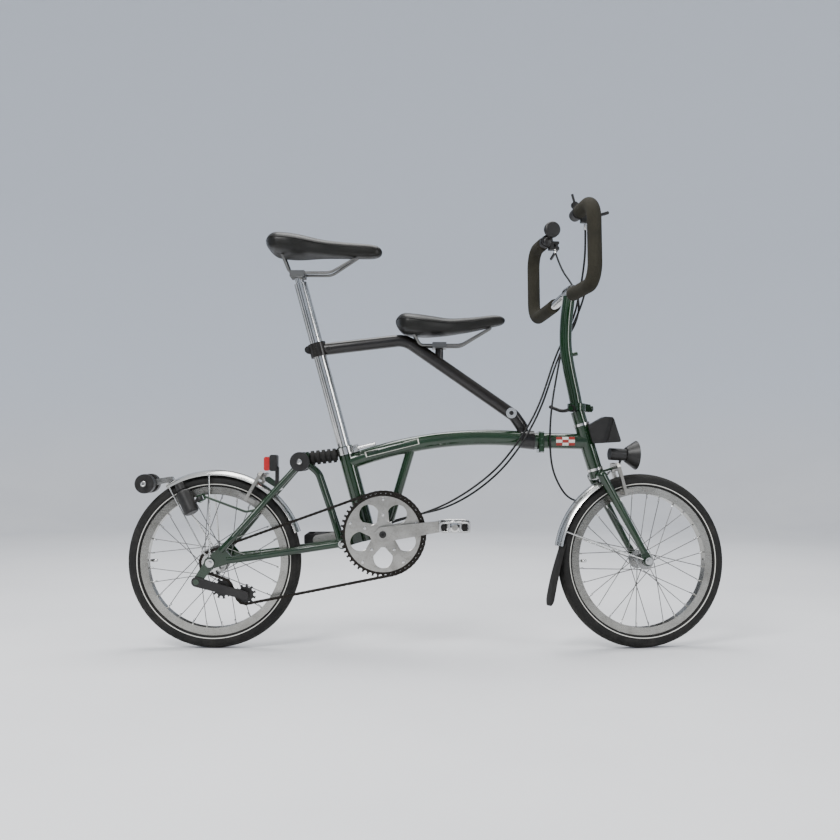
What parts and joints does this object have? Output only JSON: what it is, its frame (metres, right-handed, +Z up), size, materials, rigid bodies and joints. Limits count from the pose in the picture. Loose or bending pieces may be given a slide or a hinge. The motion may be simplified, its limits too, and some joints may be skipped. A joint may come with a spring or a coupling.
{
  "type": "folding bicycle",
  "caption": "Small-wheeled folding bicycle with an arched main tube, upright looped handlebar, telescoping saddle and a further saddle on a clamped bar.",
  "frame": {"origin": "on the ground in the mid-plane, straight under the bottom bracket axis", "axes": "+X forward, +Y to the rider's left, +Z up"},
  "size_m": [1.4645, 0.5203, 1.0917],
  "materials": {
    "green_paint": "dark green gloss enamel",
    "black_paint": "satin black paint",
    "polished_alloy": "brushed and polished alloy",
    "bright_steel": "zinc-plated steel",
    "ring_steel": "polished chain wheel steel",
    "chain_steel": "dark oiled steel",
    "guard_silver": "silver laminate",
    "tyre_rubber": "black tyre rubber with a pale reflective line",
    "soft_rubber": "matt black rubber",
    "saddle_cover": "black grained cover with stitched seams",
    "grip_foam": "worn brown-grey foam",
    "black_plastic": "black moulded plastic",
    "cable_housing": "black cable housing",
    "red_lens": "red lens in a black case"
  },
  "bodies": {
    "main_frame": {"main_frame": "green_paint", "bottom_bracket_bearings": "bright_steel", "seat_clamp_collar": "bright_steel", "hinge_pins": "bright_steel", "second_seat_bar": "black_paint", "second_saddle_rails": "bright_steel", "second_saddle": "saddle_cover", "gear_cable": "cable_housing", "rear_brake_cable": "cable_housing"},
    "seat_clamp_lever": {"seat_clamp_lever": "bright_steel"},
    "seat_pillar": {"seat_pillar": "polished_alloy", "saddle_rails": "bright_steel", "main_saddle": "saddle_cover"},
    "front_frame": {"front_frame": "green_paint", "headset_bearings": "polished_alloy", "luggage_block": "black_plastic"},
    "frame_hinge_lever": {"frame_hinge_lever": "black_paint"},
    "fork": {"fork": "green_paint", "front_axle": "bright_steel", "front_mudguard": "guard_silver", "front_mudflap": "soft_rubber", "front_lamp": "black_plastic", "front_brake_cable": "cable_housing"},
    "front_caliper_right": {"front_caliper_right": "polished_alloy"},
    "front_caliper_left": {"front_caliper_left": "polished_alloy"},
    "handlebar_post": {"handlebar_post": "green_paint", "handlebar": "polished_alloy", "handlebar_grips": "grip_foam", "lever_brackets": "polished_alloy", "bell": "black_plastic"},
    "right_brake_lever": {"right_brake_lever": "polished_alloy"},
    "left_brake_lever": {"left_brake_lever": "polished_alloy"},
    "gear_shifter": {"gear_shifter": "black_plastic"},
    "stem_hinge_lever": {"stem_hinge_lever": "black_paint"},
    "front_wheel": {"front_tyre": "tyre_rubber", "front_rim": "polished_alloy", "front_hub": "polished_alloy"},
    "rear_frame": {"rear_frame": "green_paint", "suspension_block": "soft_rubber", "rear_mudguard": "guard_silver", "rear_lamp": "red_lens", "rear_axle": "bright_steel", "chain": "chain_steel"},
    "rear_wheel": {"rear_tyre": "tyre_rubber", "rear_rim": "polished_alloy", "rear_hub": "polished_alloy"},
    "rear_rollers": {"rear_rollers": "black_plastic"},
    "upper_rollers": {"upper_rollers": "black_plastic"},
    "rear_caliper_right": {"rear_caliper_right": "polished_alloy"},
    "rear_caliper_left": {"rear_caliper_left": "polished_alloy"},
    "crankset": {"crankset": "polished_alloy", "chainring": "ring_steel"},
    "right_pedal": {"right_pedal": "black_plastic"},
    "left_pedal": {"left_pedal": "black_plastic"},
    "sprocket": {"sprocket": "bright_steel"},
    "tensioner_arm": {"tensioner_arm": "black_paint"},
    "guide_jockey": {"guide_jockey": "black_plastic"},
    "tension_jockey": {"tension_jockey": "black_plastic"},
    "dynamo": {"dynamo": "black_plastic"},
    "dynamo_roller": {"dynamo_roller": "black_plastic"}
  },
  "joints": [
    {"name": "main_fold", "type": "hinge", "parent": "main_frame", "child": "front_frame", "pos_m": [0.384, -0.028, 0.501], "axis": [0, 0, -1], "range_deg": [0, 104], "deforming": ["gear_cable", "rear_brake_cable"]},
    {"name": "steering", "type": "hinge", "parent": "front_frame", "child": "fork", "pos_m": [0.502, 0, 0.4895], "axis": [-0.284, 0, 0.9588], "range_deg": [-60, 50], "deforming": ["front_brake_cable"]},
    {"name": "stem_fold", "type": "hinge", "parent": "fork", "child": "handlebar_post", "pos_m": [0.50123, 0.03908, 0.58419], "axis": [-0.815, 0.5786, -0.0319], "range_deg": [0, 160]},
    {"name": "seat_height", "type": "slide", "parent": "main_frame", "child": "seat_pillar", "axis": [-0.2622, 0, 0.965], "range_m": [-0.15, 0.04]},
    {"name": "rear_fold", "type": "hinge", "parent": "main_frame", "child": "rear_frame", "pos_m": [-0.1, 0, 0.254], "axis": [0, -1, 0], "range_deg": [0, 130], "deforming": ["chain"]},
    {"name": "front_wheel_spin", "type": "hinge", "parent": "fork", "child": "front_wheel", "pos_m": [0.63133, 0.00793, 0.2113], "axis": [-0.1665, 0.9848, -0.0493], "continuous": true},
    {"name": "rear_wheel_spin", "type": "hinge", "parent": "rear_frame", "child": "rear_wheel", "pos_m": [-0.413, 0, 0.2115], "axis": [0, 1, 0], "continuous": true},
    {"name": "crank_spin", "type": "hinge", "parent": "main_frame", "child": "crankset", "pos_m": [0, 0, 0.28], "axis": [0, 1, 0], "continuous": true},
    {"name": "right_pedal_spin", "type": "hinge", "parent": "crankset", "child": "right_pedal", "pos_m": [0.16835, -0.116, 0.30366], "axis": [0, 1, 0], "continuous": true},
    {"name": "left_pedal_spin", "type": "hinge", "parent": "crankset", "child": "left_pedal", "pos_m": [-0.16835, 0.116, 0.25634], "axis": [0, 1, 0], "continuous": true},
    {"name": "sprocket_spin", "type": "hinge", "parent": "rear_frame", "child": "sprocket", "pos_m": [-0.413, -0.047, 0.2115], "axis": [0, 1, 0], "continuous": true},
    {"name": "tensioner_swing", "type": "hinge", "parent": "rear_frame", "child": "tensioner_arm", "pos_m": [-0.445, -0.06, 0.167], "axis": [0, 1, 0], "range_deg": [-8, 35], "stiffness_Nm_per_rad": 1.5, "springref_deg": -7.45},
    {"name": "guide_jockey_spin", "type": "hinge", "parent": "tensioner_arm", "child": "guide_jockey", "pos_m": [-0.385, -0.047, 0.15], "axis": [0, 1, 0], "continuous": true},
    {"name": "tension_jockey_spin", "type": "hinge", "parent": "tensioner_arm", "child": "tension_jockey", "pos_m": [-0.33, -0.047, 0.135], "axis": [0, 1, 0], "continuous": true},
    {"name": "right_brake_pull", "type": "hinge", "parent": "handlebar_post", "child": "right_brake_lever", "pos_m": [0.4884, -0.10724, 1.0299], "axis": [0.0041, -0.0493, -0.9988], "range_deg": [0, 12], "stiffness_Nm_per_rad": 2, "springref_deg": -5.73},
    {"name": "left_brake_pull", "type": "hinge", "parent": "handlebar_post", "child": "left_brake_lever", "pos_m": [0.44511, 0.14881, 1.01707], "axis": [-0.0041, 0.0493, 0.9988], "range_deg": [0, 12], "stiffness_Nm_per_rad": 2, "springref_deg": -5.73},
    {"name": "front_caliper_right_close", "type": "hinge", "parent": "fork", "child": "front_caliper_right", "pos_m": [0.57042, 0.009, 0.43827], "axis": [0.9514, 0.1736, 0.2545], "range_deg": [0, 0.9]},
    {"name": "front_caliper_left_close", "type": "hinge", "parent": "fork", "child": "front_caliper_left", "pos_m": [0.57042, 0.009, 0.43827], "axis": [-0.9514, -0.1736, -0.2545], "range_deg": [0, 0.9]},
    {"name": "rear_caliper_right_close", "type": "hinge", "parent": "rear_frame", "child": "rear_caliper_right", "pos_m": [-0.298, 0, 0.41644], "axis": [0.8721, 0, -0.4894], "range_deg": [0, 0.9]},
    {"name": "rear_caliper_left_close", "type": "hinge", "parent": "rear_frame", "child": "rear_caliper_left", "pos_m": [-0.298, 0, 0.41644], "axis": [-0.8721, 0, 0.4894], "range_deg": [0, 0.9]},
    {"name": "gear_shift", "type": "hinge", "parent": "handlebar_post", "child": "gear_shifter", "pos_m": [0.45782, -0.09344, 1.06413], "axis": [-0.1665, 0.9848, -0.0493], "range_deg": [0, 45]},
    {"name": "stem_lever_turn", "type": "hinge", "parent": "fork", "child": "stem_hinge_lever", "pos_m": [0.45907, -0.02557, 0.5826], "axis": [0.5795, 0.8141, -0.0378], "range_deg": [0, 110]},
    {"name": "frame_lever_turn", "type": "hinge", "parent": "main_frame", "child": "frame_hinge_lever", "pos_m": [0.379, 0.044, 0.501], "axis": [0, 1, 0], "range_deg": [0, 160]},
    {"name": "seat_lever_turn", "type": "hinge", "parent": "main_frame", "child": "seat_clamp_lever", "pos_m": [-0.06724, -0.024, 0.48676], "axis": [0, 0, -1], "range_deg": [0, 120]},
    {"name": "rear_rollers_spin", "type": "hinge", "parent": "rear_frame", "child": "rear_rollers", "pos_m": [-0.57932, 0, 0.39949], "axis": [0, 1, 0], "continuous": true},
    {"name": "upper_rollers_spin", "type": "hinge", "parent": "rear_frame", "child": "upper_rollers", "pos_m": [-0.202, 0, 0.453], "axis": [0, 1, 0], "continuous": true},
    {"name": "dynamo_swing", "type": "hinge", "parent": "rear_frame", "child": "dynamo", "pos_m": [-0.44128, -0.04809, 0.36368], "axis": [0.458, -0.2218, -0.8608], "range_deg": [0, 8]},
    {"name": "dynamo_roller_spin", "type": "hinge", "parent": "dynamo", "child": "dynamo_roller", "pos_m": [-0.49155, -0.034, 0.39216], "axis": [0.458, -0.2218, -0.8608], "continuous": true}
  ],
  "couplings": [
    {"joint": "sprocket_spin", "follows": "crank_spin", "ratio": 3.8462},
    {"joint": "guide_jockey_spin", "follows": "crank_spin", "ratio": -4.5455},
    {"joint": "tension_jockey_spin", "follows": "crank_spin", "ratio": 4.5455},
    {"joint": "front_caliper_right_close", "follows": "right_brake_pull", "ratio": 0.07},
    {"joint": "front_caliper_left_close", "follows": "right_brake_pull", "ratio": 0.07},
    {"joint": "rear_caliper_right_close", "follows": "left_brake_pull", "ratio": 0.07},
    {"joint": "rear_caliper_left_close", "follows": "left_brake_pull", "ratio": 0.07}
  ]
}
